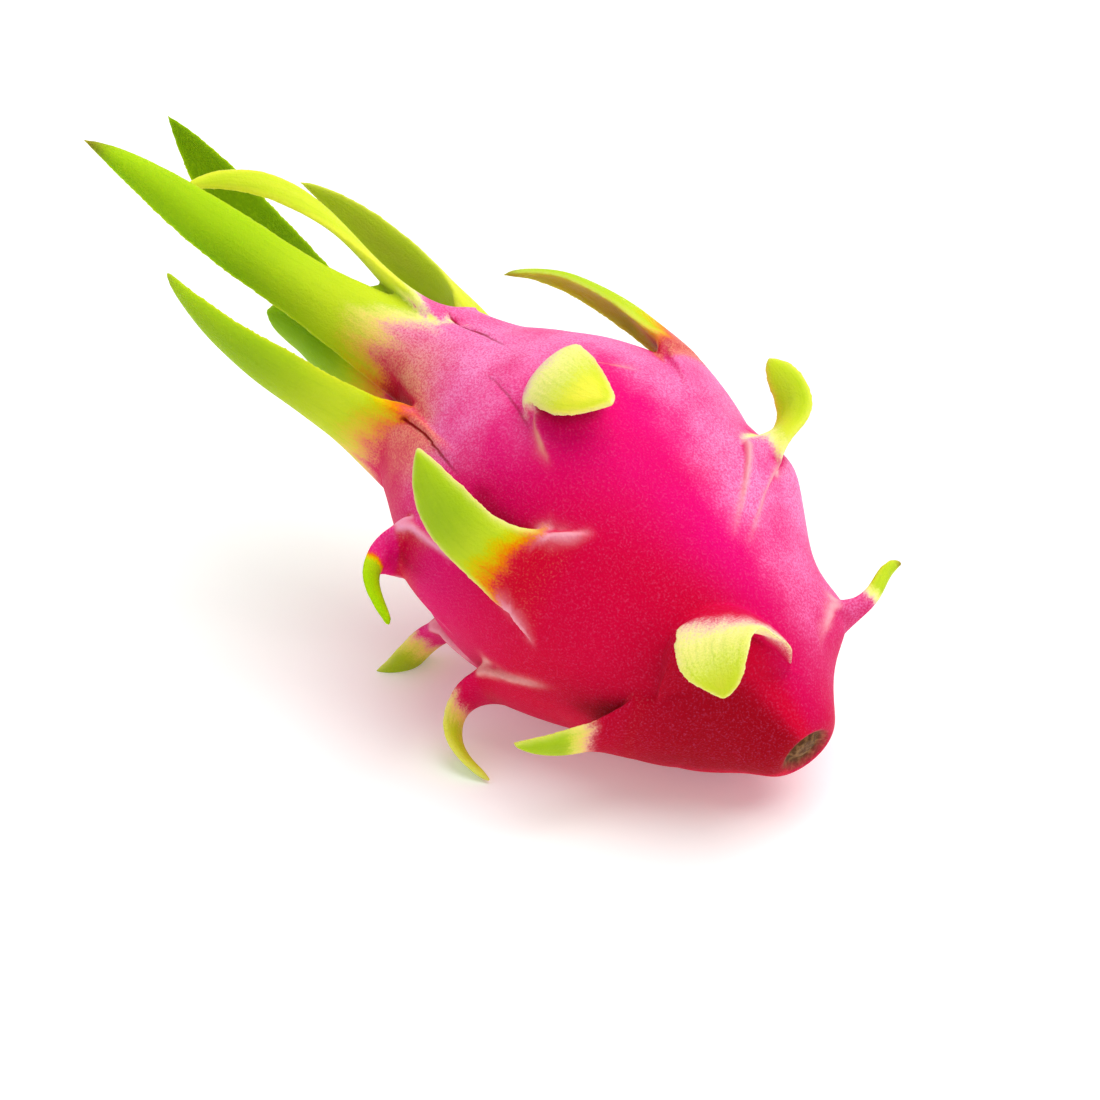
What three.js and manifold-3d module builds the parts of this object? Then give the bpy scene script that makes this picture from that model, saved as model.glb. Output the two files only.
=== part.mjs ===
// A whole dragon fruit (pitaya), as picked, lying on its side with its crown raised.
//
// The fruit grew as one piece: its scales are leafy flaps of the rind, continuous with the skin,
// so body and scales are joined into one closed solid.
//
// Fruit axes, used to build it: Z runs from the stem scar (0) to the crown, and an angle "around"
// of 0 is the upper side, 90 the far side, 180 the underside and -90 the near side.
// Part axes, used by the finished solid: +Z up, the crown towards -X, and the origin at the small
// flat spot that the fruit rests on. All lengths are in millimetres, all angles in degrees.

import * as THREE from "three";
import { mergeVertices } from "three/addons/utils/BufferGeometryUtils.js";
import Module from "manifold-3d";

// ---- Driving dimensions ----

const CROWN_RAISE = 20;          // angle of the fruit's long axis above the surface it lies on
const REST_FLATTENING = 0.8;     // how far the rind is pressed flat where the fruit rests
const SKIN_COLOUR = 0xd81f74;

// Outline of the body without its scales, as [distance from the stem scar, radius].
const STEM_SCAR = [[1.4, 0], [1.2, 3], [2.6, 4.3], [0.6, 7.6]];
const FLANK = [[0.6, 7.6], [2.6, 10.8], [9, 15.8], [22, 26.3], [40, 35], [60, 43], [82, 46.5], [100, 45],
  [114, 40], [126, 32.5], [138, 24.5], [148, 18], [154, 13.5]];
const CROWN_CUP = [[154, 13.5], [155.5, 10], [152, 6], [147, 0]];
const FLANK_SAMPLES = 22;
const CUP_SAMPLES = 5;
const BODY_SIDES = 36;

// Places where the rind stands out beside a scale, or is sunken.
const SWELLINGS = [
  { along: 58, around: 54, reach: 15, height: 2.2 },
  { along: 61, around: 48, reach: 8, height: 2 },
  { along: 25, around: 60, reach: 9, height: 4.5 },
  { along: 141, around: 38, reach: 15, height: -0.7 },
];

// A scale leaves the rind at "from" along the axis and "around" it, "length" long, "base" wide at the
// rind and "middle" wide further out. "lift" is its angle off the rind at its base, at one third, at
// two thirds and at its tip: 0 runs along the rind to the crown, 90 stands straight out, 180 points
// back to the stem. "swing" turns it sideways and "twist" rolls it about its own length, at the same
// four stations. "cupping" is how far its margins bend towards the fruit. "run" is how far its base
// runs on down the rind, "spread" how much wider it is there, "ridge" how far its margins stand up
// along it, and "arch" how far the ends of its base lie behind the middle. "tip" is how blunt it ends.
const SCALE_DEFAULTS = {
  lift: [20, 20, 20, 20], swing: [0, 0, 0, 0], twist: [0, 0, 0, 0], thickness: 4, cupping: 0.25,
  run: 26, spread: 1.4, ridge: 1, arch: 2, tip: 1.7,
};
const SCALES = {
  // the long scales of the crown, and the short ones inside them
  crown_near: { from: 145, around: -45, length: 112, base: 26, middle: 17, thickness: 6.2, cupping: 0.28,
    run: 40, ridge: 0.6, arch: 3.4, tip: 2.3, lift: [21, 47, 54, 45], swing: [-14, -18, -16, -28],
    twist: [0, 1, 6, -12] },
  crown_low: { from: 129, around: -87, length: 83, base: 26, middle: 21.5, thickness: 5.2, cupping: 0.37,
    run: 36, ridge: 1.4, arch: 2.4, lift: [48, 51, 48, 20], swing: [-10, -4, 10, 0],
    twist: [-6, -16, -12, -16] },
  crown_strap: { from: 149, around: 0, length: 95, base: 17, middle: 9, thickness: 3.4, cupping: 0.04,
    run: 18, ridge: 1.6, arch: 2.4, tip: 3.5, lift: [19, 37, 30, -14], swing: [-33, -2, -27, -85],
    twist: [-7, 52, -23, -58] },
  crown_far: { from: 152, around: 54, length: 72, base: 17, middle: 13, thickness: 3.2, cupping: 0.05,
    run: 9, arch: 0.5, tip: 2, lift: [42, 29, 29, 8], swing: [3, 12, -22, -22], twist: [2, 46, 57, 38] },
  crown_back: { from: 149, around: 155, length: 118, base: 17, middle: 18.5, thickness: 4.5, cupping: 0.13,
    run: 22, arch: 1, tip: 2.6, lift: [31, 25, 16, 14], swing: [14, 9, 1, 0], twist: [0, 28, -5, 2] },
  crown_under: { from: 148, around: -172, length: 50, base: 19, middle: 14, run: 22,
    lift: [42, 38, 32, 26] },
  torn_near: { from: 150, around: -92, length: 43, base: 25, middle: 20.4, thickness: 3.1, cupping: 0.24,
    run: 16, tip: 5, lift: [53, 48, 52, 48], swing: [4, -14, 4, -4], twist: [-6, 5, 2, 12] },
  torn_top: { from: 151, around: -24, length: 24, base: 16, middle: 15, thickness: 3, run: 14, tip: 6,
    lift: [33, 32, 32, 33], swing: [-9, -12, -14, -14] },
  torn_far: { from: 150, around: 105, length: 28, base: 16, middle: 13, thickness: 3, run: 14, tip: 4,
    lift: [40, 38, 36, 34] },
  // upper ring of the body
  shoulder_horn: { from: 100, around: 47, length: 61, base: 26, middle: 16.5, thickness: 5.2,
    cupping: 0.35, run: 30, ridge: 1.6, arch: 3, tip: 1.6, lift: [13, 5, -12, -45],
    swing: [14, -2, -10, -14], twist: [6, 10, 10, 0] },
  shoulder_flap: { from: 102, around: -19, length: 34, base: 20, middle: 20, thickness: 2.6, cupping: -0.2,
    run: 17, spread: 2, ridge: 1.2, arch: 2.6, tip: 1.9, lift: [48, 169, 178, 162],
    swing: [-16, 2, -10, 0], twist: [4, 15, 0, 0] },
  shoulder_curl: { from: 106, around: -97, length: 32, base: 20, middle: 8, tip: 5,
    lift: [75, 140, 180, 176], twist: [0, 20, 30, 30] },
  shoulder_back: { from: 104, around: 112, length: 48, base: 25, middle: 13, lift: [16, 22, 8, -14] },
  near_foot: { from: 99, around: -152, length: 38, base: 25, middle: 15, thickness: 5, tip: 2.4,
    lift: [40, 90, 82, 30] },
  far_foot: { from: 96, around: 157, length: 36, base: 25, middle: 15, thickness: 5, tip: 2.4,
    lift: [40, 84, 76, 30] },
  // middle ring
  waist_strap: { from: 63, around: 33, length: 33, base: 11, middle: 10.5, thickness: 2.8, cupping: 0,
    run: 38, spread: 0.15, ridge: 1.8, arch: 3.4, tip: 5.3, lift: [12, 41, 19, 0], swing: [45, 60, -15, 5],
    twist: [0, -72, -77, -64] },
  waist_wing: { from: 70, around: -65.5, length: 42, base: 23, middle: 17, thickness: 4.5, cupping: 0.1,
    run: 13, spread: 1.5, ridge: 1.8, tip: 2.2, lift: [27, 18, 5, -8], swing: [-8, 6, 22, 30] },
  waist_back: { from: 68, around: 100, length: 38, base: 26, middle: 13, ridge: 2, lift: [8, 22, 22, 8] },
  waist_pressed: { from: 68, around: 150, length: 30, base: 25, middle: 14, thickness: 3.5,
    lift: [6, 12, 6, -6] },
  waist_curl: { from: 70, around: -128, length: 36, base: 26, middle: 12, thickness: 3.5,
    lift: [20, 100, 160, 180] },
  // lower ring, near the stem
  lower_hood: { from: 28.7, around: -25.5, length: 35, base: 31, middle: 23, thickness: 2.8, cupping: 0.07,
    run: 22, spread: 1.3, ridge: 3.2, arch: 12, tip: 2.3, lift: [54, 135, 148, 229],
    swing: [34, 78, 40, 29], twist: [0, 42, 38, 6] },
  lower_spur: { from: 24, around: 59, length: 23, base: 14, middle: 6.5, run: 12, arch: 0.8, tip: 4.5,
    lift: [75, 64, 36, 112], swing: [0, 2, 8, 6], twist: [-8, -8, -6, -20] },
  lower_back: { from: 26, around: 108, length: 30, base: 28, middle: 12, thickness: 3.5, run: 18,
    lift: [12, 24, 14, -10] },
  lower_near: { from: 30, around: -104, length: 30, base: 28, middle: 13, thickness: 3.5, run: 20,
    ridge: 0.3, lift: [24, 44, 34, 10] },
};

// How every scale is laid out. A "share" counts from 0 at its base to 1 at its tip or its run's end.
const FREE_RINGS = 8;            // sections along the free part
const RUN_RINGS = 3;             // sections where it runs down the rind
const STEPS_PER_RING = 4;        // steps between two sections while its centre line is followed
const OUTER_POINTS = 7;          // points across its outer side
const MIDDLE_AT = 0.42;          // share of the length at which it is "middle" wide
const MIDDLE_EASE = 0.8;         // how soon it narrows from "base" to "middle"
const TIP_ROUNDNESS = 0.85;
const TIP_HALF_WIDTH = 0.4;
const MARGIN = 1.1;              // thickness of its margins
const MARGIN_ROUNDNESS = 0.5;
const FLESH_ROUNDNESS = 0.8;     // how the flesh swells from the margins to the middle
const OUTER_FLESH = 0.55;        // share of the flesh that lies on the outer side
const LEAST_FLESH = 0.5;
const MOST_FLESH = 1.1;          // the most flesh, in half widths
const FLESH_TAPER = 0.75;        // how the flesh thins towards the tip
const BASE_THINNING = 0.25;      // part of the flesh lost by one third of the length
const BASE_RISE = 0.35;          // height of its centre over the rind at its base, in thicknesses
const CUPPING_SHARE = 0.4;       // share of the length over which it takes on its own cupping
const RIDGE_SHARE = 0.25;        // share of the length over which its raised margins fade away
const ARCH_SHARE = 0.45;         // share of the length over which the arch of its base fades away
const ROOT_DEPTH = 2.5;          // how deep its inner side goes under the rind along the run
const AXIL_SHARE = 0.14;         // share of the length over which that depth fades away
const RUN_SINK = 0.6;            // how deep the far end of its run dives under the rind
const SINK_EASE = 1.5;           // how its run sinks into the rind
const SPREAD_EASE = 0.7;         // how its run spreads
const RIDGE_EASE = 0.6;          // how its raised margins sink along the run
const LOWEST_RUN = 1.5;          // no run reaches further down the axis than this
const MIN_RADIUS = 12;           // the rind counts as no more sharply curved than this

// How the parts are joined.
const FLANK_KNOTS = 240;         // points of the flank's smooth outline
const MERGE_DISTANCE = 1e-4;     // points nearer than this are one point
const SURFACE_BLOCK = [600, 400, 100];   // block that cuts the flat spot

// ---- Small helpers ----

const { degToRad: radians, lerp, smoothstep } = THREE.MathUtils;

function atStation(values, share) {
  // the smooth curve through four values at 0, 1/3, 2/3 and 1
  const [a, b, c, d] = values;
  const p = 3 * share;
  return (-a * (p - 1) * (p - 2) * (p - 3) + 3 * b * p * (p - 2) * (p - 3)
    - 3 * c * p * (p - 1) * (p - 3) + d * p * (p - 1) * (p - 2)) / 6;
}

function turned(axisA, axisB, angle) {
  // axisA turned towards axisB
  return axisA.clone().multiplyScalar(Math.cos(angle)).addScaledVector(axisB, Math.sin(angle));
}

// ---- The body's outline and surface ----

function smoothLine(points, samples) {
  const curve = new THREE.SplineCurve(points.map(([along, radius]) => new THREE.Vector2(radius, along)));
  return curve.getPoints(samples);
}

const flankLine = smoothLine(FLANK, FLANK_KNOTS);

function radiusAt(along) {
  const last = flankLine.length - 1;
  if (along <= flankLine[0].y) return flankLine[0].x;
  if (along >= flankLine[last].y) return flankLine[last].x;
  const i = flankLine.findIndex((point) => point.y > along);
  const share = (along - flankLine[i - 1].y) / (flankLine[i].y - flankLine[i - 1].y);
  return lerp(flankLine[i - 1].x, flankLine[i].x, share);
}

function slopeAt(along) {
  // how fast the rind widens, over one millimetre with its middle here
  return radiusAt(along + 0.5) - radiusAt(along - 0.5);
}

function rindFrame(along, around) {
  // a point on the rind, with the directions to the crown, out of the fruit and sideways round it
  const slope = slopeAt(along);
  const radial = new THREE.Vector3(Math.cos(around), Math.sin(around), 0);
  const axial = new THREE.Vector3(0, 0, 1);
  const point = radial.clone().multiplyScalar(radiusAt(along)).setZ(along);
  const crownward = axial.clone().addScaledVector(radial, slope).normalize();
  const outward = radial.clone().addScaledVector(axial, -slope).normalize();
  const sideways = new THREE.Vector3(-Math.sin(around), Math.cos(around), 0);
  return { point, crownward, outward, sideways };
}

function bodyGeometry() {
  const outline = [
    ...STEM_SCAR.slice(0, -1).map(([along, radius]) => new THREE.Vector2(radius, along)),
    ...smoothLine(FLANK, FLANK_SAMPLES),
    ...smoothLine(CROWN_CUP, CUP_SAMPLES).slice(1, -1),
    new THREE.Vector2(0, CROWN_CUP.at(-1)[0]),
  ];
  const body = new THREE.LatheGeometry(outline, BODY_SIDES).rotateX(Math.PI / 2);
  SWELLINGS.forEach((swelling) => swell(body.attributes.position, swelling));
  return body;
}

function swell(positions, { along, around, reach, height }) {
  // moves the points near one place of the rind outwards, the nearest ones the furthest
  const { point: middle, outward } = rindFrame(along, radians(around));
  const point = new THREE.Vector3();
  for (let i = 0; i < positions.count; i += 1) {
    point.fromBufferAttribute(positions, i);
    const rise = height * Math.exp(-((point.distanceTo(middle) / reach) ** 2));
    point.addScaledVector(outward, rise);
    positions.setXYZ(i, point.x, point.y, point.z);
  }
}

// ---- Scales ----

function halfWidthAt(scale, share) {
  if (share < MIDDLE_AT) {
    const eased = smoothstep(share, 0, MIDDLE_AT) ** MIDDLE_EASE;
    return lerp(scale.base, scale.middle, eased) / 2;
  }
  const beyond = (share - MIDDLE_AT) / (1 - MIDDLE_AT);
  return Math.max(scale.middle / 2 * (1 - beyond ** scale.tip) ** TIP_ROUNDNESS, TIP_HALF_WIDTH);
}

function sectionRing({ centre, sideways, outward, back, halfWidth, flesh, cupping, ridge, depth, margin }) {
  // one closed ring of points: over the outer side, then back under the inner side
  const outer = [];
  const inner = [];
  for (let i = 0; i < OUTER_POINTS; i += 1) {
    const across = Math.sin((2 * i / (OUTER_POINTS - 1) - 1) * Math.PI / 2);
    const fullness = Math.max(1 - across ** 2, 0);
    const bow = -cupping * halfWidth * across ** 2;
    const rounding = margin / 2 * fullness ** MARGIN_ROUNDNESS;
    const swelling = flesh * fullness ** FLESH_ROUNDNESS;
    const above = bow + rounding + OUTER_FLESH * swelling + ridge * across ** 4;
    const below = bow - rounding - (1 - OUTER_FLESH) * swelling - depth;
    const side = centre.clone();
    side.addScaledVector(sideways, halfWidth * across).addScaledVector(back, across ** 2);
    outer.push(side.clone().addScaledVector(outward, above));
    if (i > 0 && i < OUTER_POINTS - 1) inner.unshift(side.clone().addScaledVector(outward, below));
  }
  return [...outer, ...inner];
}

function runStations(scale) {
  // where the middle of the run lies, from the axil to its far end
  const swing = radians(scale.swing[0]);
  const advance = scale.run / (RUN_RINGS * STEPS_PER_RING);
  const stations = [{ along: scale.from, around: radians(scale.around) }];
  for (let step = 0; step < RUN_RINGS * STEPS_PER_RING; step += 1) {
    const { along, around } = stations.at(-1);
    stations.push({
      along: Math.max(along - Math.cos(swing) * advance / Math.hypot(1, slopeAt(along)), LOWEST_RUN),
      around: around - Math.sin(swing) * advance / Math.max(radiusAt(along), MIN_RADIUS),
    });
  }
  return stations;
}

function runRings(scale) {
  // the part that runs down the rind, from its far end up to the axil
  const swing = radians(scale.swing[0]);
  const stations = runStations(scale);
  const rings = [];
  for (let ring = RUN_RINGS; ring > 0; ring -= 1) {
    const share = ring / RUN_RINGS;
    const { along, around } = stations[ring * STEPS_PER_RING];
    const { point, crownward, outward, sideways } = rindFrame(along, around);
    const halfWidth = scale.base / 2 * (1 + (scale.spread - 1) * share ** SPREAD_EASE);
    const above = (1 - share) ** SINK_EASE;
    rings.push(sectionRing({
      centre: point.addScaledVector(outward, BASE_RISE * scale.thickness * above - RUN_SINK * share),
      sideways: turned(sideways, crownward, -swing),
      outward,
      back: turned(crownward, sideways, swing).multiplyScalar(-scale.arch * (1 - share)),
      halfWidth,
      flesh: (scale.thickness + LEAST_FLESH) * above,
      cupping: halfWidth / (2 * Math.max(radiusAt(along), MIN_RADIUS)),
      ridge: scale.ridge * (1 - share) ** RIDGE_EASE,
      depth: ROOT_DEPTH,
      margin: MARGIN * (1 - share),
    }));
  }
  return rings;
}

function scaleDirections(scale, base, share) {
  // the ways forward, outward and sideways at a share of the scale's length
  const swing = radians(atStation(scale.swing, share));
  const lift = radians(atStation(scale.lift, share));
  const heading = turned(base.crownward, base.sideways, swing);
  return {
    forward: turned(heading, base.outward, lift),
    outward: turned(base.outward, heading.clone().negate(), lift),
    sideways: turned(base.sideways, base.crownward.clone().negate(), swing),
  };
}

function freeRings(scale) {
  // the part that stands off the rind, from the axil to the tip
  const base = rindFrame(scale.from, radians(scale.around));
  const centre = base.point.clone().addScaledVector(base.outward, BASE_RISE * scale.thickness);
  const rindCupping = scale.base / (4 * Math.max(radiusAt(scale.from), MIN_RADIUS));
  const baseHeading = turned(base.crownward, base.sideways, radians(scale.swing[0]));
  const rings = [];
  for (let ring = 0; ring <= FREE_RINGS; ring += 1) {
    const share = ring / FREE_RINGS;
    const { outward, sideways } = scaleDirections(scale, base, share);
    const twist = radians(atStation(scale.twist, share));
    const halfWidth = halfWidthAt(scale, share);
    const thinning = 1 - BASE_THINNING * smoothstep(share, 0, 1 / 3);
    const flesh = scale.thickness * (1 - share) ** FLESH_TAPER * thinning + LEAST_FLESH;
    rings.push(sectionRing({
      centre,
      sideways: turned(sideways, outward.clone().negate(), twist),
      outward: turned(outward, sideways, twist),
      back: baseHeading.clone().multiplyScalar(-scale.arch * (1 - smoothstep(share, 0, ARCH_SHARE))),
      halfWidth,
      flesh: Math.min(flesh, halfWidth * MOST_FLESH),
      cupping: lerp(rindCupping, scale.cupping, smoothstep(share, 0, CUPPING_SHARE)),
      ridge: scale.ridge * (1 - smoothstep(share, 0, RIDGE_SHARE)),
      depth: ROOT_DEPTH * (1 - smoothstep(share, 0, AXIL_SHARE)),
      margin: Math.min(MARGIN, halfWidth),
    }));
    for (let step = 0; step < STEPS_PER_RING; step += 1) {
      const { forward } = scaleDirections(scale, base, (ring + (step + 0.5) / STEPS_PER_RING) / FREE_RINGS);
      centre.addScaledVector(forward, scale.length / FREE_RINGS / STEPS_PER_RING);
    }
  }
  return rings;
}

function middleOf(points) {
  return points.reduce((sum, point) => sum.add(point), new THREE.Vector3()).divideScalar(points.length);
}

function ringsGeometry(rings) {
  // skin over successive rings, closed by a fan at each end
  const sides = rings[0].length;
  const points = rings.flat();
  const firstMiddle = points.push(middleOf(rings[0])) - 1;
  const lastMiddle = points.push(middleOf(rings.at(-1))) - 1;
  const lastStart = (rings.length - 1) * sides;
  const triangles = [];
  for (let side = 0; side < sides; side += 1) {
    const next = (side + 1) % sides;
    triangles.push(next, side, firstMiddle);
    triangles.push(lastStart + side, lastStart + next, lastMiddle);
    for (let start = 0; start < lastStart; start += sides) {
      triangles.push(start + side, start + next, start + sides + next);
      triangles.push(start + side, start + sides + next, start + sides + side);
    }
  }
  const geometry = new THREE.BufferGeometry().setFromPoints(points);
  geometry.setIndex(triangles);
  return geometry;
}

// ---- Joining ----

const wasm = await Module();
wasm.setup();

function toSolid(geometry) {
  const shape = geometry.clone();
  shape.deleteAttribute("normal");
  shape.deleteAttribute("uv");
  const merged = mergeVertices(shape, MERGE_DISTANCE);
  return new wasm.Manifold(new wasm.Mesh({
    numProp: 3,
    vertProperties: Float32Array.from(merged.attributes.position.array),
    triVerts: Uint32Array.from(merged.index.array),
  }));
}

function toGeometry(solid) {
  const { vertProperties, triVerts } = solid.getMesh();
  const geometry = new THREE.BufferGeometry();
  geometry.setAttribute("position", new THREE.BufferAttribute(vertProperties, 3));
  geometry.setIndex(new THREE.BufferAttribute(triVerts, 1));
  geometry.computeVertexNormals();
  return geometry;
}

function lowestRindPoint() {
  // the lowest point of the underside once the crown is raised, in the turned axes
  const raise = radians(CROWN_RAISE);
  let lowest = { x: 0, z: Infinity };
  for (const { x: radius, y: along } of flankLine) {
    const z = along * Math.sin(raise) - radius * Math.cos(raise);
    if (z < lowest.z) lowest = { x: -along * Math.cos(raise) - radius * Math.sin(raise), z };
  }
  return lowest;
}

function dragonFruitGeometry() {
  let fruit = toSolid(bodyGeometry());
  for (const shape of Object.values(SCALES)) {
    const scale = { ...SCALE_DEFAULTS, ...shape };
    fruit = fruit.add(toSolid(ringsGeometry([...runRings(scale), ...freeRings(scale)])));
  }
  const lowest = lowestRindPoint();
  const lying = toGeometry(fruit)
    .rotateY(radians(CROWN_RAISE - 90))
    .translate(-lowest.x, 0, -lowest.z - REST_FLATTENING);
  const surfaceBlock = new THREE.BoxGeometry(...SURFACE_BLOCK).translate(0, 0, -SURFACE_BLOCK[2] / 2);
  return toGeometry(toSolid(lying).subtract(toSolid(surfaceBlock)));
}

const rind = new THREE.MeshStandardMaterial({ color: SKIN_COLOUR, roughness: 0.5, metalness: 0 });
const dragonFruit = new THREE.Mesh(dragonFruitGeometry(), rind);
dragonFruit.name = "dragon_fruit";

const group = new THREE.Group();
group.add(dragonFruit);

export default group;
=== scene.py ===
"""The looks of one whole dragon fruit, lying on its side with its crown raised.

The rind, the scales and the skin between them are one mesh, because they grew as one piece. It is
shaped in millimetres on the fruit's own axes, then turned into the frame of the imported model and
made in metres. On the fruit's axes Z runs from the stem scar (0) to the crown, and an angle "around"
of 0 is the upper side, 90 the far side, 180 the underside and -90 the near side.
"""

from dataclasses import dataclass

import bmesh
import bpy
import numpy as np
from mathutils import Matrix, Vector, bvhtree, kdtree, noise


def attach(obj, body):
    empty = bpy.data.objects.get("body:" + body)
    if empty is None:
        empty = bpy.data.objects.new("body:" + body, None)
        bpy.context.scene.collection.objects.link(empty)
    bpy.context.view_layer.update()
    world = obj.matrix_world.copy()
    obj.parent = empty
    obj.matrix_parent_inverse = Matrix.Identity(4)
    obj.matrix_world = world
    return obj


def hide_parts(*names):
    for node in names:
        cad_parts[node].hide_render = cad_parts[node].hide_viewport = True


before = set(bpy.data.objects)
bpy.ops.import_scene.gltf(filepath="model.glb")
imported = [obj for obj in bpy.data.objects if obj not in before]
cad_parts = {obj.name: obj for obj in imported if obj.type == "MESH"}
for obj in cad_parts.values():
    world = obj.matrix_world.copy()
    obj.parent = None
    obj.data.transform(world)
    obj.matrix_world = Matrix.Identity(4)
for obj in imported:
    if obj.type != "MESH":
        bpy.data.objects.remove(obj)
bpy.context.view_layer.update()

# ---- Driving dimensions: millimetres and degrees ----

METRES = 0.001
CROWN_RAISE = 20.0  # angle of the long axis above the surface
REST_FLATTENING = 0.8  # how far the rind is pressed flat where the fruit rests

# Outline of the body without its scales, as (distance from the stem scar, radius).
STEM_SCAR = [(1.4, 0.0), (1.2, 3.0), (2.6, 4.3), (0.6, 7.6)]
FLANK = [(0.6, 7.6), (2.6, 10.8), (9, 15.8), (22, 26.3), (40, 35), (60, 43), (82, 46.5), (100, 45),
         (114, 40), (126, 32.5), (138, 24.5), (148, 18), (154, 13.5)]
CROWN_CUP = [(154, 13.5), (155.5, 10), (152, 6), (147, 0)]

# Places where the rind stands out beside a scale, or is sunken, as (along, around, reach, height).
SWELLINGS = [(58, 54, 15, 2.2), (61, 48, 8, 2.0), (25, 60, 9, 4.5), (141, 38, 15, -0.7)]

# Creases in the rind: how deep (0 to 1), and a line of (along, around) points. A scratch program turned
# the pixels read off the photograph into these places on the rind.
CREASES = [(1.0, [(152, -7), (149, -9), (142, -12), (136, -12), (125, -13)]),
           (1.0, [(144, -84), (135, -71.5), (127, -66), (119, -62), (109, -61), (101, -60)]),
           (0.5, [(119, -29), (110, -30), (102, -32), (95, -34)])]


@dataclass
class Scale:
    """One leafy scale. The four-value fields hold at its base, one third, two thirds and its tip."""
    start: float                 # where it leaves the rind, from the stem scar
    around: float
    length: float
    base: float                  # width at the rind
    middle: float                # width further out
    lift: tuple                  # 0 along the rind to the crown, 90 straight out
    swing: tuple = (0, 0, 0, 0)  # sideways, towards a larger angle around
    twist: tuple = (0, 0, 0, 0)  # about its own length
    # Its shape.
    thickness: float = 4.0
    cupping: float = 0.25        # how far its margins bend towards the fruit, or out if negative
    tip: float = 1.7             # how blunt it ends
    ragged: float = 0.02         # how uneven its margins are
    arch: float = 2.0            # how far the ends of its base lie behind the middle
    run: float = 26.0            # how far its base runs on down the rind
    spread: float = 1.4          # how much wider it is at the end of its run
    ridge: float = 1.0           # how far its margins stand up along the run
    # Its colours.
    blush: float = 0.0           # share of its length that stays pink
    fade: float = 0.3            # share of its length over which pink turns green
    slant: float = 0.0           # how much nearer the rind it turns green at its larger angle
    fiery: float = 0.4           # 0 turns through salmon and straw, 1 through red and orange
    lopsided: float = 0.0        # how much more it is fiery at its larger angle
    flushed: float = 0.2         # how far along its run the red of a fiery scale reaches
    yellow: float = 0.3          # 0 is grass green, 1 is lemon yellow
    band: float = 1.2            # width of the pale band along the margins of its run, or 0 for none
    rimmed: float = 0.3          # how pale its margins are further out
    browned: float = 0.0         # how dry its tip is


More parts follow.
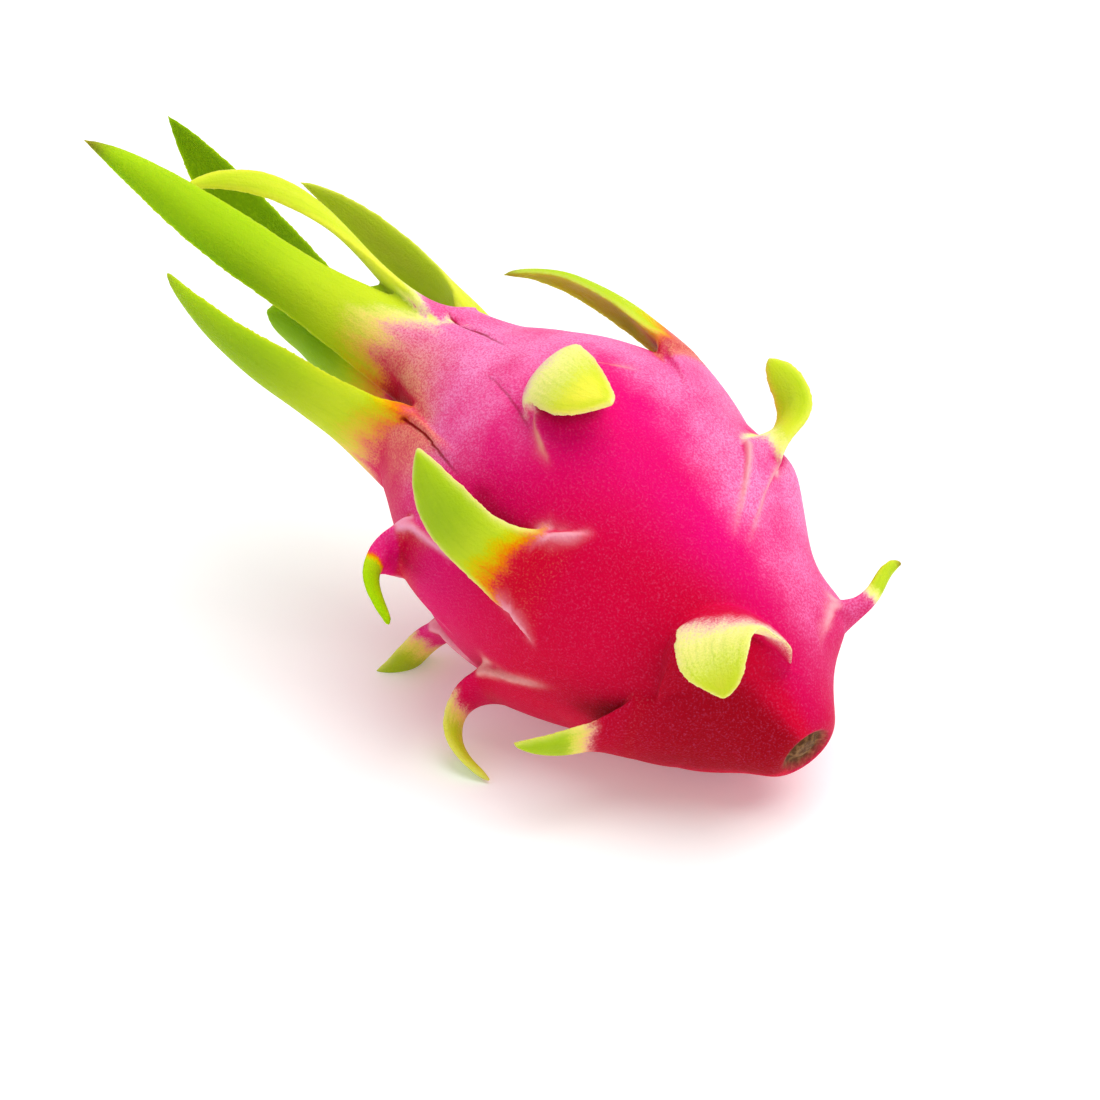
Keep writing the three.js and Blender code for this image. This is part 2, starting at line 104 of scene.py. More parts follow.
# Not all of these numbers were chosen by hand. For crown_near, crown_low, crown_strap, crown_far,
# crown_back, torn_near, shoulder_horn, shoulder_flap, waist_strap, lower_hood and lower_spur, search
# programs found most of the places, sizes and bends, by matching outlines drawn over the photograph.
# The lift of waist_wing is from a least-squares program, and torn_top's lift and swing nearly are.
SCALES = {
    # the long scales of the crown, and the short ones inside them
    "crown_near": Scale(
        145, -45, 112, 26, 17, (21, 47, 54, 45), (-14, -18, -16, -28), (0, 1, 6, -12),
        thickness=6.2, cupping=0.28, tip=2.3, arch=3.4, run=40, ridge=0.6,
        blush=-0.02, fade=0.26, slant=0.6, fiery=0.45, lopsided=-0.55, flushed=0.9, yellow=0.1, band=0,
        rimmed=0, browned=0.8),
    "crown_low": Scale(
        129, -87, 83, 26, 21.5, (48, 51, 48, 20), (-10, -4, 10, 0), (-6, -16, -12, -16),
        thickness=5.2, cupping=0.37, arch=2.4, run=36, ridge=1.4,
        blush=-0.02, fade=0.26, slant=0.4, fiery=0.75, lopsided=0.25, flushed=1, yellow=0.2, band=0,
        rimmed=0, browned=0.3),
    "crown_strap": Scale(
        149, 0, 95, 17, 9, (19, 37, 30, -14), (-33, -2, -27, -85), (-7, 52, -23, -58),
        thickness=3.4, cupping=0.04, tip=3.5, arch=2.4, run=18, ridge=1.6,
        blush=0.09, fade=0.12, fiery=0, yellow=0.75, band=0, rimmed=0),
    "crown_far": Scale(
        152, 54, 72, 17, 13, (42, 29, 29, 8), (3, 12, -22, -22), (2, 46, 57, 38),
        thickness=3.2, cupping=0.05, tip=2, arch=0.5, run=9,
        blush=-0.3, fiery=0.1, yellow=0.45, band=0, rimmed=0.1),
    "crown_back": Scale(
        149, 155, 118, 17, 18.5, (31, 25, 16, 14), (14, 9, 1, 0), (0, 28, -5, 2),
        thickness=4.5, cupping=0.13, tip=2.6, arch=1, run=22,
        blush=-0.1, yellow=0, rimmed=0),
    "crown_under": Scale(148, -172, 50, 19, 14, (42, 38, 32, 26), run=22, yellow=0.1),
    "torn_near": Scale(
        150, -92, 43, 25, 20.4, (53, 48, 52, 48), (4, -14, 4, -4), (-6, 5, 2, 12),
        thickness=3.1, cupping=0.24, tip=5, ragged=0.08, run=16,
        blush=-0.15, fade=0.5, fiery=0.9, yellow=0.1),
    "torn_top": Scale(
        151, -24, 24, 16, 15, (33, 32, 32, 33), (-9, -12, -14, -14),
        thickness=3, tip=6, ragged=0.15, run=14, rimmed=0),
    "torn_far": Scale(150, 105, 28, 16, 13, (40, 38, 36, 34), thickness=3, tip=4, ragged=0.1, run=14),
    # upper ring of the body
    "shoulder_horn": Scale(
        100, 47, 61, 26, 16.5, (13, 5, -12, -45), (14, -2, -10, -14), (6, 10, 10, 0),
        thickness=5.2, cupping=0.35, tip=1.6, arch=3, run=30, ridge=1.6,
        blush=0.04, fade=0.35, fiery=1, flushed=0.25, yellow=0.2, band=0, rimmed=0.2, browned=0.7),
    "shoulder_flap": Scale(
        102, -19, 34, 20, 20, (48, 169, 178, 162), (-16, 2, -10, 0), (4, 15, 0, 0),
        thickness=2.6, cupping=-0.2, tip=1.9, arch=2.6, run=17, spread=2, ridge=1.2,
        blush=-0.1, fade=0.8, fiery=0, yellow=1, band=0.2, rimmed=0.8),
    "shoulder_curl": Scale(
        106, -97, 32, 20, 8, (75, 140, 180, 176), twist=(0, 20, 30, 30), tip=5,
        blush=0.32, fade=0.08, fiery=1, flushed=0.5, yellow=0, rimmed=0),
    "shoulder_back": Scale(104, 112, 48, 25, 13, (16, 22, 8, -14), fiery=0.6),
    "near_foot": Scale(99, -152, 38, 25, 15, (40, 90, 82, 30), thickness=5, tip=2.4, blush=0.2),
    "far_foot": Scale(96, 157, 36, 25, 15, (40, 84, 76, 30), thickness=5, tip=2.4, blush=0.2),
    # middle ring
    "waist_strap": Scale(
        63, 33, 33, 11, 10.5, (12, 41, 19, 0), (45, 60, -15, 5), (0, -72, -77, -64),
        thickness=2.8, cupping=0, tip=5.3, arch=3.4, run=38, spread=0.15, ridge=1.8,
        fiery=0, yellow=0.5, band=1.1, rimmed=0.2),
    "waist_wing": Scale(
        70, -65.5, 42, 23, 17, (27, 18, 5, -8), (-8, 6, 22, 30),
        thickness=4.5, cupping=0.1, tip=2.2, ragged=0.05, run=13, spread=1.5, ridge=1.8,
        blush=0.03, fade=0.28, fiery=1, flushed=1, yellow=0.25, band=3.5, rimmed=0.7),
    "waist_back": Scale(68, 100, 38, 26, 13, (8, 22, 22, 8), ridge=2),
    "waist_pressed": Scale(68, 150, 30, 25, 14, (6, 12, 6, -6), thickness=3.5, yellow=0.6),
    "waist_curl": Scale(70, -128, 36, 26, 12, (20, 100, 160, 180), thickness=3.5, blush=0.25, yellow=0.6),
    # lower ring, near the stem
    "lower_hood": Scale(
        28.7, -25.5, 35, 31, 23, (54, 135, 148, 229), (34, 78, 40, 29), (0, 42, 38, 6),
        thickness=2.8, cupping=0.07, tip=2.3, ragged=0.05, arch=12, run=22, spread=1.3, ridge=3.2,
        blush=0.15, fade=0.8, slant=0.5, fiery=0, yellow=0.75, band=0, rimmed=0.9),
    "lower_spur": Scale(
        24, 59, 23, 14, 6.5, (75, 64, 36, 112), (0, 2, 8, 6), (-8, -8, -6, -20),
        tip=4.5, arch=0.8, run=12,
        blush=0.38, fade=0.2, fiery=0, yellow=0.4, rimmed=0, browned=1),
    "lower_back": Scale(26, 108, 30, 28, 12, (12, 24, 14, -10), thickness=3.5, run=18, blush=0.3),
    "lower_near": Scale(
        30, -104, 30, 28, 13, (24, 44, 34, 10), thickness=3.5, run=20, ridge=0.3, blush=0.3, band=0),
}

# How the scales' sections are laid out.
RING_SPACING = 1.0  # between two sections
HALF_SECTION = 19  # points across one side of a section
LEAST_RINGS = 12  # the fewest sections on the free part of a scale, and on its run
LEAST_RUN_RINGS = 4
STEPS_PER_RING = 3  # steps between two sections while the centre line is followed
MIDDLE_AT = 0.42  # share of the length at which a scale is "middle" wide
WIDENING = 0.8  # powers that shape its outline up to there and beyond
NARROWING = 0.85
MARGIN = 1.1  # thickness of a margin
TIP_HALF_WIDTH = 0.4
OUTER_FLESH = 0.55  # shares of the flesh on the outer and on the inner side
INNER_FLESH = 0.45
FLESH_ROUNDING = 0.8  # power by which the flesh thins towards the margins
FLESH_TAPER = 0.75  # and towards the tip
FLESH_DIP = 0.25  # share of it that is lost over the first third of the length
LEAST_FLESH = 0.5
MOST_FLESH = 1.1  # in half widths
RAGGED_WAVE = 5.0  # length of the waves in its uneven margins
BASE_RISE = 0.35  # height of the centre over the rind at the base, in thicknesses
RUN_SINK = 0.6  # how deep the far end of a run dives under the rind
RUN_THINNING = 1.5  # powers by which a run thins, widens and loses its raised margins
RUN_WIDENING = 0.7
RUN_LOWERING = 0.6
RUN_LIMIT = 1.5  # no run goes nearer to the stem scar than this
ROOT_DEPTH = 2.5  # how deep the inner side goes under the rind along the run
CUPPING_SHARE = 0.4  # share of the length over which a scale leaves the rind's own curve,
RAGGED_SHARE = 0.2  # its margins become uneven,
RIDGE_SHARE = 0.25  # its raised margins fade away,
ARCH_SHARE = 0.45  # the arch of its base does,
AXIL_SHARE = 0.14  # and the depth of its root
MIN_RADIUS = 12.0  # the rind counts as no more sharply curved than this
CREASE_STEPS = 60  # points along a crease
CREASE_TAPER = 0.6  # power by which its ends rise
CREASE_WIDTH = 1.3
CREASE_DEPTH = 1.0
CREASE_SLACK = (0.3, 1.0)  # a crease ends over this distance beyond its last point
CREASE_CEILING = 4.0  # creases are cut no higher over the plain body than this
CREASE_REACH = 4.0  # how far to its sides a crease is known

# How the joined mesh is made.
FLANK_SAMPLES = 600  # points of the outline that radii are looked up in
BODY_RINGS = 150
CUP_RINGS = 16
BODY_SIDES = 180
VOXEL = 0.5
FILLET = 0.5  # how strongly a junction is rounded off in one round
FILLET_REACH = 2.2  # how far from a junction the skin is rounded off
FILLET_SHARES = (0.1, 0.25)  # shares of a scale's length over which the rounding ends
FILLET_ROUNDS = 10
RIDGE_FILLET = 0.4  # how much of it the raised margins of a run get
RIDGE_ACROSS = 0.7  # where they begin: 0 is a scale's middle, 1 its margin
FAIRING = (0.5, -0.52)  # a step inwards and one back, so that smoothing doesn't shrink it
FAIRING_ROUNDS = 4
SNAP_SHARES = (0.06, 0.15)  # a scale takes its given shape back between these shares of its length
FACE_BUDGET = 190000
MARGIN_EVENING = 0.5  # how strongly the scales' margins are evened after that, in one round
MARGIN_REACH = (1.0, 2.0)  # how far in from the margin it fades out
MARGIN_STARTS = (0.0, 0.1)  # and the shares of the length over which it sets in
MARGIN_ROUNDS = 8
VALUE_EVENING = 0.5  # how much the stored look values are evened out
VALUE_ROUNDS = 3
WARPS = [(45.0, 1.0), (14.0, 0.25)]  # wavelength and size of the natural unevenness
SEED = 301  # which unevenness of all the possible ones it has

# ---- Looks ----

SKY_RAYS = 26  # rays that feel for what shelters a point, and how far they reach
SKY_REACH = 16.0
RAY_SLANT = 0.1  # rays lower over the skin than this (a sine) aren't sent
RAY_LIFT = 0.1  # how far off the skin they start
BELONGS = (0.6, 2.0)  # a point belongs to a scale within the first distance, not past the second
EDGE_LEAD = 0.25  # how much nearer the rind the margins turn green, in fades
EDGE_LEAD_LEVEL = 0.4  # (place across a scale)**2 at which that lead is nothing
SLANT_LEAD = 9.0  # how much nearer a slanting scale's one margin does
STREAK_WIDTH = 2.2  # streaks where pink turns green: width, length and reach
STREAK_LENGTH = 25.0
STREAK_SIZE = 0.32  # in fades
LONGEST_STREAK = 0.35  # share of the length up to which a fade counts for this
THINNEST_BAND = 0.1
FAR_BAND = 0.2  # share of its width that a band keeps at the far end of a run
BLOOM_AND_SHEEN_AROUND = np.radians(50)  # the side of the body painted palest: mealy bloom, partly painted sheen
SHADE_AROUND = np.radians(-85)  # the side with the deepest red: painted shade, partly the fruit's own deeper red
SCAR_HEIGHT = 4.0  # the stem scar reaches no further along the fruit than about this
CUP_STARTS = (148, 152)  # where along the fruit the dry hollow of the crown begins,
CUP_EDGE = (8, 13)  # and how far off the axis it ends
SKIN_DEPTH = 0.05  # share of the light that goes into the rind,
LEAF_DEPTH = 0.75  # and how much more of it into green flesh
SKIN_SHADER = {"Specular IOR Level": 0.035, "Subsurface Scale": 0.004,
               "Subsurface Radius": (0.9, 0.9, 0.2), "Sheen Weight": 0.015, "Sheen Roughness": 0.4,
               "Sheen Tint": (1.0, 0.7, 0.9, 1.0)}
ROUGHNESS = (0.38, 0.58)
BUMP = {"Strength": 0.5, "Distance": 0.0004}
BUMP_WEIGHT = 1.5  # of the grain and of the veins

# How fine the patterns in the colour are, as cells of noise to the metre.
RED_PATCHES = 28
BLOOM_PATCHES = 70
GLOSS_PATCHES = 140
BARK_GRAIN = 700
LEAF_SPECKS = 900
MEAL_GRAIN = 1900
VEIN_STRETCH = 0.06  # how fine the veins are along a scale, against across it
VEINS = 1.1  # cells of the veins to the millimetre across it

# ---- The camera and light of the photograph ----

FRAME_PIXELS = 1100
CAMERA_AZIMUTH = 49.5
CAMERA_ELEVATION = 30.0
CAMERA_DISTANCE = 0.9
LENS_MM = 115.0
SENSOR_MM = 36.0
BODY_CENTRE_ALONG = 78.0  # the point of the fruit's axis that is placed in the picture
BODY_CENTRE_PIXEL = (612, 547)
FLOOR_HALF = 3.0
WHITE = (1.0, 1.0, 1.0, 1.0)
FLOOR_SHADER = {"Base Color": (0.93, 0.93, 0.93, 1.0), "Roughness": 0.7, "Specular IOR Level": 0.1,
                "Emission Color": WHITE, "Emission Strength": 0.18}   # the floor is a lit white table
WORLD_STRENGTH = 0.56
SUN_FROM = (0.22, 0.28, 1.0)  # the way to the main light
SUN_STRENGTH = 2.2
SUN_SPREAD = np.radians(60)


# ---- The body's outline and surface ----

def smooth_line(points, samples):
    """Points evenly shared out along a Catmull-Rom curve through the given ones."""
    knots = np.array(points, float)
    knots = np.vstack([knots[0], knots, knots[-1]])
    share = np.linspace(0, len(points) - 1, samples + 1)
    span = np.minimum(share.astype(int), len(points) - 2)
    t = (share - span)[:, None]
    a, b, c, d = (knots[span + i] for i in range(4))
    v0, v1 = (c - a) / 2, (d - b) / 2
    return (2 * b - 2 * c + v0 + v1) * t**3 + (3 * c - 3 * b - 2 * v0 - v1) * t**2 + v0 * t + b


flank_line = smooth_line(FLANK, FLANK_SAMPLES)


def radius_at(along):
    return np.interp(along, flank_line[:, 0], flank_line[:, 1])


def slope_at(along):
    return radius_at(along + 0.5) - radius_at(along - 0.5)


def rind_frame(along, around):
    """A point on the rind, with the directions to the crown, out of the fruit and sideways."""
    slope = slope_at(along)
    radial = np.array([np.cos(around), np.sin(around), 0.0])
    axial = np.array([0.0, 0.0, 1.0])
    stretch = np.hypot(1, slope)
    crownward = (axial + slope * radial) / stretch
    outward = (radial - slope * axial) / stretch
    sideways = np.array([-np.sin(around), np.cos(around), 0.0])
    return radial * radius_at(along) + axial * along, crownward, outward, sideways


def turned(axis_a, axis_b, angle):
    """axis_a turned towards axis_b."""
    return np.cos(angle) * axis_a + np.sin(angle) * axis_b


def at_station(values, share):
    """The smooth curve through four values at 0, 1/3, 2/3 and 1."""
    a, b, c, d = values
    p = 3 * share
    return (-a * (p - 1) * (p - 2) * (p - 3) + 3 * b * p * (p - 2) * (p - 3)
            - 3 * c * p * (p - 1) * (p - 3) + d * p * (p - 1) * (p - 2)) / 6


def smoothstep(value, low=0.0, high=1.0):
    x = np.clip((value - low) / (high - low), 0, 1)
    return x * x * (3 - 2 * x)


def body_mesh():
    """Vertices and faces of the body without its scales."""
    cup = smooth_line(CROWN_CUP, CUP_RINGS)[1:]
    outline = np.vstack([STEM_SCAR[:-1], smooth_line(FLANK, BODY_RINGS), cup])
    outline = outline[outline[:, 1] > 0.01]     # not the points on the axis, where the fans close it
    around = np.linspace(0, 2 * np.pi, BODY_SIDES, endpoint=False)
    rings = [np.stack([radius * np.cos(around), radius * np.sin(around), np.full(BODY_SIDES, along)], 1)
             for along, radius in outline]
    points, faces = skin_over(rings)
    for along, around, reach, height in SWELLINGS:
        middle, _, outward, _ = rind_frame(along, np.radians(around))
        distance = np.linalg.norm(points - middle, axis=1)
        points = points + np.outer(height * np.exp(-(distance / reach)**2), outward)
    return points, faces


def skin_over(rings):
    """A closed skin over successive rings, with a fan at each end."""
    sides = len(rings[0])
    count = len(rings)
    points = np.vstack([*rings, rings[0].mean(0), rings[-1].mean(0)])
    side = np.arange(sides)
    after = (side + 1) % sides
    faces = []
    for ring in range(count - 1):
        low, high = ring * sides, (ring + 1) * sides
        faces += np.stack([low + side, low + after, high + after, high + side], 1).tolist()
    first, last = count * sides, count * sides + 1
    top = (count - 1) * sides
    faces += [[after[i], i, first] for i in range(sides)]
    faces += [[top + i, top + after[i], last] for i in range(sides)]
    return points, [[int(i) for i in face] for face in faces]


# ---- Scales ----

ACROSS = np.sin(np.linspace(-1, 1, HALF_SECTION) * np.pi / 2)
RING_ACROSS = np.concatenate([ACROSS, ACROSS[-2:0:-1]])
RING_INNER = np.concatenate([np.zeros(HALF_SECTION), np.ones(HALF_SECTION - 2)])


def section_ring(centre, sideways, outward, back, half_width, flesh, cupping, ridge, root_depth, margin):
    """One closed ring of points: over the outer side, then back under the inner side."""
    fullness = np.maximum(1 - RING_ACROSS**2, 0)
    bow = -cupping * half_width * RING_ACROSS**2
    skin = margin / 2 * fullness**0.5
    rounding = fullness**FLESH_ROUNDING
    above = bow + skin + OUTER_FLESH * flesh * rounding + ridge * RING_ACROSS**4
    below = bow - skin - INNER_FLESH * flesh * rounding - root_depth
    height = np.where(RING_INNER > 0, below, above)
    return (centre + np.outer(half_width * RING_ACROSS, sideways) + np.outer(height, outward)
            + np.outer(RING_ACROSS**2, back))


def half_width_at(scale, share):
    if share < MIDDLE_AT:
        eased = smoothstep(share, 0, MIDDLE_AT)**WIDENING
        return (scale.base + (scale.middle - scale.base) * eased) / 2
    beyond = (share - MIDDLE_AT) / (1 - MIDDLE_AT)
    return max(scale.middle / 2 * (1 - beyond**scale.tip)**NARROWING, TIP_HALF_WIDTH)


def run_rings(scale):
    """The part that runs down the rind, from its far end up to the axil: rings and their shares."""
    swing = np.radians(scale.swing[0])
    steps = max(int(scale.run / RING_SPACING), LEAST_RUN_RINGS)
    along, around = scale.start, np.radians(scale.around)
    rings, shares = [], []
    for step in range(1, steps + 1):
        advance = scale.run / steps
        along = max(along - np.cos(swing) * advance / np.hypot(1, slope_at(along)), RUN_LIMIT)
        around -= np.sin(swing) * advance / max(radius_at(along), MIN_RADIUS)
        share = step / steps
        thinning = (1 - share)**RUN_THINNING
        point, crownward, outward, sideways = rind_frame(along, around)
        half_width = scale.base / 2 * (1 + (scale.spread - 1) * share**RUN_WIDENING)
        height = BASE_RISE * scale.thickness * thinning - RUN_SINK * share
        rings.append(section_ring(
            point + outward * height, turned(sideways, crownward, -swing), outward,
            -scale.arch * (1 - share) * turned(crownward, sideways, swing), half_width,
            (scale.thickness + LEAST_FLESH) * thinning, half_width / (2 * max(radius_at(along), MIN_RADIUS)),
            scale.ridge * (1 - share)**RUN_LOWERING, ROOT_DEPTH, MARGIN * (1 - share)))
        shares.append(-share)
    return rings[::-1], shares[::-1]


def free_rings(scale, seed):
    """The part that stands off the rind, from the axil to the tip: rings and their shares."""
    centre, crownward, base_outward, base_sideways = rind_frame(scale.start, np.radians(scale.around))
    centre = centre + base_outward * BASE_RISE * scale.thickness
    rind_cupping = scale.base / (4 * max(radius_at(scale.start), MIN_RADIUS))
    base_heading = turned(crownward, base_sideways, np.radians(scale.swing[0]))
    count = max(int(scale.length / RING_SPACING), LEAST_RINGS)

    def directions(share):
        swing = np.radians(at_station(scale.swing, share))
        lift = np.radians(at_station(scale.lift, share))
        heading = turned(crownward, base_sideways, swing)
        return turned(heading, base_outward, lift), turned(base_outward, -heading, lift), \
            turned(base_sideways, -crownward, swing)

    rings, shares = [], []
    for ring in range(count + 1):
        share = ring / count
        _, outward, sideways = directions(share)
        twist = np.radians(at_station(scale.twist, share))
        uneven = noise.noise(Vector((share * scale.length / RAGGED_WAVE, seed, 0)))
        ragged = scale.ragged * uneven * smoothstep(share, 0, RAGGED_SHARE)
        half_width = half_width_at(scale, share) * (1 + ragged)
        dip = FLESH_DIP * smoothstep(share, 0, 1 / 3)
        flesh = scale.thickness * (1 - share)**FLESH_TAPER * (1 - dip) + LEAST_FLESH
        rings.append(section_ring(
            centre, turned(sideways, -outward, twist), turned(outward, sideways, twist),
            -scale.arch * (1 - smoothstep(share, 0, ARCH_SHARE)) * base_heading, half_width,
            min(flesh, half_width * MOST_FLESH),
            rind_cupping + (scale.cupping - rind_cupping) * smoothstep(share, 0, CUPPING_SHARE),
            scale.ridge * (1 - smoothstep(share, 0, RIDGE_SHARE)),
            ROOT_DEPTH * (1 - smoothstep(share, 0, AXIL_SHARE)), min(MARGIN, half_width)))
        shares.append(share)
        for step in range(STEPS_PER_RING):
            forward, _, _ = directions((ring + (step + 0.5) / STEPS_PER_RING) / count)
            centre = centre + forward * scale.length / count / STEPS_PER_RING
    return rings, shares


def scale_mesh(scale, seed):
    """Vertices, faces and, for each ring vertex, its share, across, inner and edge distance."""
    down, down_shares = run_rings(scale)
    free, free_shares = free_rings(scale, seed)
    rings = down + free
    points, faces = skin_over(rings)
    sides = len(RING_ACROSS)
    shares = np.repeat(np.array(down_shares + free_shares), sides)
    across = np.tile(RING_ACROSS, len(rings))
    inner = np.tile(RING_INNER, len(rings))
    widths = np.repeat([np.linalg.norm(ring[HALF_SECTION - 1] - ring[0]) for ring in rings], sides)
    return points, faces, np.stack([shares, across, inner, (1 - np.abs(across)) * widths / 2], 1)


# ---- Joining body and scales into one skin ----

def fruit_to_part():
    """The turn and shift from the fruit's axes to the part's, in millimetres."""
    raise_angle = np.radians(CROWN_RAISE)
    sin, cos = np.sin(raise_angle), np.cos(raise_angle)
    turn = np.array([[sin, 0, -cos], [0, 1, 0], [cos, 0, sin]])
    underside = np.stack([-flank_line[:, 1], 0 * flank_line[:, 1], flank_line[:, 0]], 1) @ turn.T
    lowest = underside[underside[:, 2].argmin()]
    return turn, np.array([-lowest[0], 0, -lowest[2] - REST_FLATTENING])


def mesh_object(name, points, faces):
    mesh = bpy.data.meshes.new(name)
    mesh.from_pydata(points.tolist(), [], faces)
    piece = bpy.data.objects.new(name, mesh)
    bpy.context.scene.collection.objects.link(piece)
    return piece


def bake_modifier(piece, kind, **settings):
    """Adds a modifier and applies it to the mesh."""
    modifier = piece.modifiers.new(kind.lower(), kind)
    for key, value in settings.items():
        setattr(modifier, key, value)
    graph = bpy.context.evaluated_depsgraph_get()
    mesh = bpy.data.meshes.new_from_object(piece.evaluated_get(graph))
    piece.modifiers.clear()
    old = piece.data
    piece.data = mesh
    bpy.data.meshes.remove(old)


def mesh_table(items, field, width, kind=float):
    values = np.empty(len(items) * width, kind)
    items.foreach_get(field, values)
    return values.reshape(-1, width)


def mesh_points(mesh):
    return mesh_table(mesh.vertices, "co", 3)


def mesh_normals(mesh):
    return mesh_table(mesh.vertices, "normal", 3)


def mesh_edges(mesh):
    return mesh_table(mesh.edges, "vertices", 2, int)


def smoothed(table, edges, weight, rounds):
    """Each row of a table drawn towards the mean of its neighbours' rows, by its own weight."""
    ends = np.concatenate([edges[:, 0], edges[:, 1]])
    others = np.concatenate([edges[:, 1], edges[:, 0]])
    count = np.maximum(np.bincount(ends, minlength=len(table)), 1)[:, None]
    for _ in range(rounds):
        sums = np.stack([np.bincount(ends, column[others], len(table)) for column in table.T], 1)
        table = table + weight[:, None] * (sums / count - table)
    return table


def warped(points):
    """The points with the fruit's natural unevenness, which moves both sides of a scale alike."""
    moved = points.copy()
    for wavelength, size in WARPS:
        shift = [noise.noise_vector(Vector(point / wavelength)) for point in points]
        moved += np.array(shift) * size
    return moved


def set_points(mesh, points):
    mesh.vertices.foreach_set("co", points.ravel())
    mesh.update()


def search_tree(points):
    """A tree that finds the nearest of the given points."""
    tree = kdtree.KDTree(len(points))
    for index, point in enumerate(points):
        tree.insert(point, index)
    tree.balance()
    return tree


def nearest_in(tree, points):
    """For each point, the number of the tree's nearest point and how far off that is."""
    found = [tree.find(point) for point in points]
    return np.array([item[1] for item in found]), np.array([item[2] for item in found])


def scale_tree(parts):
    """A search tree of all scale vertices, and the values of each with the number of its scale."""
    points = np.vstack([points[:len(values)] for points, _, values in parts])
    values = np.vstack([np.column_stack([values, np.full(len(values), index)])
                        for index, (_, _, values) in enumerate(parts)])
    return search_tree(points), values


def height_over_body(points):
    """How far points on the fruit's axes stand out from the plain body."""
    along = points[:, 2]
    return (np.hypot(points[:, 0], points[:, 1]) - radius_at(along)) / np.hypot(1, slope_at(along))


def crease_lines():
    """Points along the creases on the plain body: place, way to one side, and strength."""
    lines = []
    for depth, line in CREASES:
        frames = [rind_frame(along, np.radians(around)) for along, around in smooth_line(line, CREASE_STEPS)]
        places = np.array([place for place, _, _, _ in frames])
        aside = np.cross([outward for _, _, outward, _ in frames], np.gradient(places, axis=0))
        aside /= np.linalg.norm(aside, axis=1)[:, None]
        taper = np.sin(np.linspace(0, np.pi, len(places)))**CREASE_TAPER
        lines.append(np.column_stack([places, aside, depth * taper]))
    return np.vstack(lines)


def onto_rind(points):
    """The points moved in or out until they lie on the plain body."""
    reach = radius_at(points[:, 2]) / np.hypot(points[:, 0], points[:, 1])
    return points * np.stack([reach, reach, np.ones(len(points))], 1)


def crease_values(points):
    """How strong the nearest crease is and how far off its middle each point lies, to either side."""
    lines = crease_lines()
    projected = onto_rind(points)
    index, distance = nearest_in(search_tree(lines[:, :3]), projected)
    aside = np.sum((projected - lines[index, :3]) * lines[index, 3:6], axis=1)
    strength = lines[index, 6] * (distance < CREASE_REACH) * (height_over_body(points) < CREASE_CEILING)
    strength *= 1 - smoothstep(distance - np.abs(aside), *CREASE_SLACK)
    return np.column_stack([strength, np.clip(aside, -CREASE_REACH, CREASE_REACH)])


def drawn_to(surface_points, surface_faces, points, weight):
    """Each point moved to the nearest place on a surface, as far as its weight says."""
    surface = bvhtree.BVHTree.FromPolygons(surface_points.tolist(), surface_faces)
    moved = points.copy()
    for index in np.nonzero(weight)[0]:
        nearest = np.array(surface.find_nearest(points[index])[0])
        moved[index] += weight[index] * (nearest - points[index])
    return moved


def loose_skin(parts):
    """Vertices and faces of the body and all its scales, which only lie through each other here."""
    points, faces = body_mesh()
    all_points, all_faces = [points], list(faces)
    offset = len(points)
    for points, faces, _ in parts:
        all_points.append(points)
        all_faces += [[index + offset for index in face] for face in faces]
        offset += len(points)
    return np.vstack(all_points), all_faces


def fillets(points, share, across, distance):
    """How strongly each point is rounded off: most in the angle between the body and a scale."""
    near_body = np.exp(-(height_over_body(points) / FILLET_REACH)**2)
    near_scale = np.exp(-(distance / FILLET_REACH)**2)
    fillet = FILLET * near_body * near_scale * (1 - smoothstep(share, *FILLET_SHARES))
    return np.where((share < 0) & (np.abs(across) > RIDGE_ACROSS), RIDGE_FILLET * fillet, fillet)


def rounded(points, edges, tree, values, loose):
    """The joined points with rounded junctions, evened a little, and the scales' own shapes restored."""
    index, distance = nearest_in(tree, points)
    share = values[index, 0]
    points = smoothed(points, edges, fillets(points, share, values[index, 1], distance), FILLET_ROUNDS)
    for _ in range(FAIRING_ROUNDS):
        for step in FAIRING:
            points = smoothed(points, edges, np.full(len(points), step), 1)
    return drawn_to(*loose, points, smoothstep(share, *SNAP_SHARES))


def margins_evened(points, edges, tree, values):
    index, _ = nearest_in(tree, points)
    margin = (1 - smoothstep(values[index, 3], *MARGIN_REACH)) * smoothstep(values[index, 0], *MARGIN_STARTS)
    return smoothed(points, edges, MARGIN_EVENING * margin, MARGIN_ROUNDS)


def make_skin():
    """The whole skin as one object on the fruit's axes, its creases, and the tree of scale vertices."""
    parts = [scale_mesh(scale, seed) for seed, scale in enumerate(SCALES.values())]
    tree, values = scale_tree(parts)
    loose = loose_skin(parts)
    skin = mesh_object("fruit_skin", *loose)
    bake_modifier(skin, "REMESH", mode="VOXEL", voxel_size=VOXEL, adaptivity=0.0)
    set_points(skin.data, rounded(mesh_points(skin.data), mesh_edges(skin.data), tree, values, loose))
    triangles = sum(len(face.vertices) - 2 for face in skin.data.polygons)
    bake_modifier(skin, "DECIMATE", ratio=min(1.0, FACE_BUDGET / triangles))
    points = margins_evened(mesh_points(skin.data), mesh_edges(skin.data), tree, values)
    creases = crease_values(points)
    groove = creases[:, 0] * (1 - smoothstep(np.abs(creases[:, 1]), 0, CREASE_WIDTH))
    set_points(skin.data, points - mesh_normals(skin.data) * groove[:, None] * CREASE_DEPTH)
    return skin, creases, tree, values


def trim_at_surface(skin):
    """Cuts the skin flat where it rests, and closes the cut."""
    work = bmesh.new()
    work.from_mesh(skin.data)
    geometry = work.verts[:] + work.edges[:] + work.faces[:]
    bmesh.ops.bisect_plane(work, geom=geometry, plane_co=(0, 0, 0), plane_no=(0, 0, 1), clear_inner=True)
    bmesh.ops.holes_fill(work, edges=[edge for edge in work.edges if edge.is_boundary])
    bmesh.ops.triangulate(work, faces=[face for face in work.faces if len(face.verts) > 4])
    work.to_mesh(skin.data)
    work.free()


# ---- What the material needs to know at each point ----

